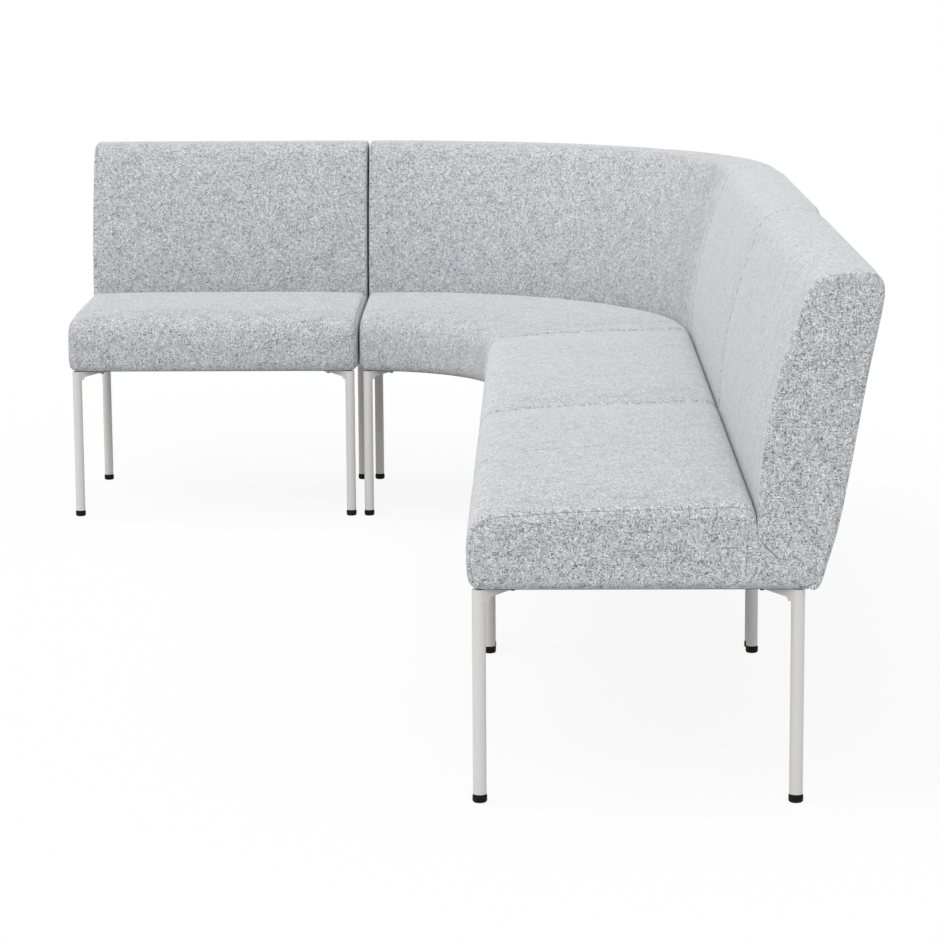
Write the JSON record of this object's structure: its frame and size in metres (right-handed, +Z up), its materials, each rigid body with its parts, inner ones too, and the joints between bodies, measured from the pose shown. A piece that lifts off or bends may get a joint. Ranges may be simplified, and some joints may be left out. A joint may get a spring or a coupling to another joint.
{
  "type": "upholstered banquette bench",
  "caption": "Modular upholstered banquette bench in an L, with straight and curved padded modules, leaning backs and slim tube legs on levelling glides.",
  "frame": {"origin": "on the floor, under the middle of the whole bench's outline", "axes": "+Z up; the left wing runs along -X, the right wing along -Y; the backs are on the +X and +Y sides"},
  "size_m": [1.662, 3.177, 0.855],
  "materials": {
    "cover_fabric": "grey melange boucle wool",
    "leg_paint": "satin powder coat",
    "glide_plastic": "moulded",
    "frame_wood": "raw plywood",
    "dust_cloth": "spun-bonded cloth",
    "strap_webbing": "woven elastic",
    "black_steel": "black oxide",
    "zinc_steel": "zinc plated"
  },
  "bodies": {
    "bench": {"left_seat_cushion": "cover_fabric", "corner_seat_cushion": "cover_fabric", "middle_seat_cushion": "cover_fabric", "end_seat_cushion": "cover_fabric", "left_back_cushion": "cover_fabric", "corner_back_cushion": "cover_fabric", "middle_back_cushion": "cover_fabric", "end_back_cushion": "cover_fabric", "left_seat_frame": "frame_wood", "corner_seat_frame": "frame_wood", "middle_seat_frame": "frame_wood", "end_seat_frame": "frame_wood", "left_back_frame": "frame_wood", "corner_back_frame": "frame_wood", "middle_back_frame": "frame_wood", "end_back_frame": "frame_wood", "left_leg_1": "leg_paint", "left_leg_2": "leg_paint", "left_leg_3": "leg_paint", "left_leg_4": "leg_paint", "corner_leg_1": "leg_paint", "corner_leg_2": "leg_paint", "corner_leg_3": "leg_paint", "corner_leg_4": "leg_paint", "corner_leg_5": "leg_paint", "middle_leg_1": "leg_paint", "middle_leg_2": "leg_paint", "middle_leg_3": "leg_paint", "middle_leg_4": "leg_paint", "end_leg_1": "leg_paint", "end_leg_2": "leg_paint", "end_leg_3": "leg_paint", "end_leg_4": "leg_paint", "rear_covers": "cover_fabric", "dust_covers": "dust_cloth", "webbing_straps": "strap_webbing", "leg_inserts": "glide_plastic", "arm_screws": "black_steel", "link_plates": "zinc_steel", "link_bolts": "zinc_steel", "back_lag_screws": "zinc_steel"},
    "left_glide_1": {"left_glide_1": "glide_plastic"},
    "left_glide_2": {"left_glide_2": "glide_plastic"},
    "left_glide_3": {"left_glide_3": "glide_plastic"},
    "left_glide_4": {"left_glide_4": "glide_plastic"},
    "corner_glide_1": {"corner_glide_1": "glide_plastic"},
    "corner_glide_2": {"corner_glide_2": "glide_plastic"},
    "corner_glide_3": {"corner_glide_3": "glide_plastic"},
    "corner_glide_4": {"corner_glide_4": "glide_plastic"},
    "corner_glide_5": {"corner_glide_5": "glide_plastic"},
    "middle_glide_1": {"middle_glide_1": "glide_plastic"},
    "middle_glide_2": {"middle_glide_2": "glide_plastic"},
    "middle_glide_3": {"middle_glide_3": "glide_plastic"},
    "middle_glide_4": {"middle_glide_4": "glide_plastic"},
    "end_glide_1": {"end_glide_1": "glide_plastic"},
    "end_glide_2": {"end_glide_2": "glide_plastic"},
    "end_glide_3": {"end_glide_3": "glide_plastic"},
    "end_glide_4": {"end_glide_4": "glide_plastic"}
  },
  "joints": [
    {"name": "left_glide_1_screw", "type": "slide", "parent": "bench", "child": "left_glide_1", "axis": [0, 0, -1], "range_m": [0, 0.01]},
    {"name": "left_glide_2_screw", "type": "slide", "parent": "bench", "child": "left_glide_2", "axis": [0, 0, -1], "range_m": [0, 0.01]},
    {"name": "left_glide_3_screw", "type": "slide", "parent": "bench", "child": "left_glide_3", "axis": [0, 0, -1], "range_m": [0, 0.01]},
    {"name": "left_glide_4_screw", "type": "slide", "parent": "bench", "child": "left_glide_4", "axis": [0, 0, -1], "range_m": [0, 0.01]},
    {"name": "corner_glide_1_screw", "type": "slide", "parent": "bench", "child": "corner_glide_1", "axis": [0, 0, -1], "range_m": [0, 0.01]},
    {"name": "corner_glide_2_screw", "type": "slide", "parent": "bench", "child": "corner_glide_2", "axis": [0, 0, -1], "range_m": [0, 0.01]},
    {"name": "corner_glide_3_screw", "type": "slide", "parent": "bench", "child": "corner_glide_3", "axis": [0, 0, -1], "range_m": [0, 0.01]},
    {"name": "corner_glide_4_screw", "type": "slide", "parent": "bench", "child": "corner_glide_4", "axis": [0, 0, -1], "range_m": [0, 0.01]},
    {"name": "corner_glide_5_screw", "type": "slide", "parent": "bench", "child": "corner_glide_5", "axis": [0, 0, -1], "range_m": [0, 0.01]},
    {"name": "middle_glide_1_screw", "type": "slide", "parent": "bench", "child": "middle_glide_1", "axis": [0, 0, -1], "range_m": [0, 0.01]},
    {"name": "middle_glide_2_screw", "type": "slide", "parent": "bench", "child": "middle_glide_2", "axis": [0, 0, -1], "range_m": [0, 0.01]},
    {"name": "middle_glide_3_screw", "type": "slide", "parent": "bench", "child": "middle_glide_3", "axis": [0, 0, -1], "range_m": [0, 0.01]},
    {"name": "middle_glide_4_screw", "type": "slide", "parent": "bench", "child": "middle_glide_4", "axis": [0, 0, -1], "range_m": [0, 0.01]},
    {"name": "end_glide_1_screw", "type": "slide", "parent": "bench", "child": "end_glide_1", "axis": [0, 0, -1], "range_m": [0, 0.01]},
    {"name": "end_glide_2_screw", "type": "slide", "parent": "bench", "child": "end_glide_2", "axis": [0, 0, -1], "range_m": [0, 0.01]},
    {"name": "end_glide_3_screw", "type": "slide", "parent": "bench", "child": "end_glide_3", "axis": [0, 0, -1], "range_m": [0, 0.01]},
    {"name": "end_glide_4_screw", "type": "slide", "parent": "bench", "child": "end_glide_4", "axis": [0, 0, -1], "range_m": [0, 0.01]}
  ]
}
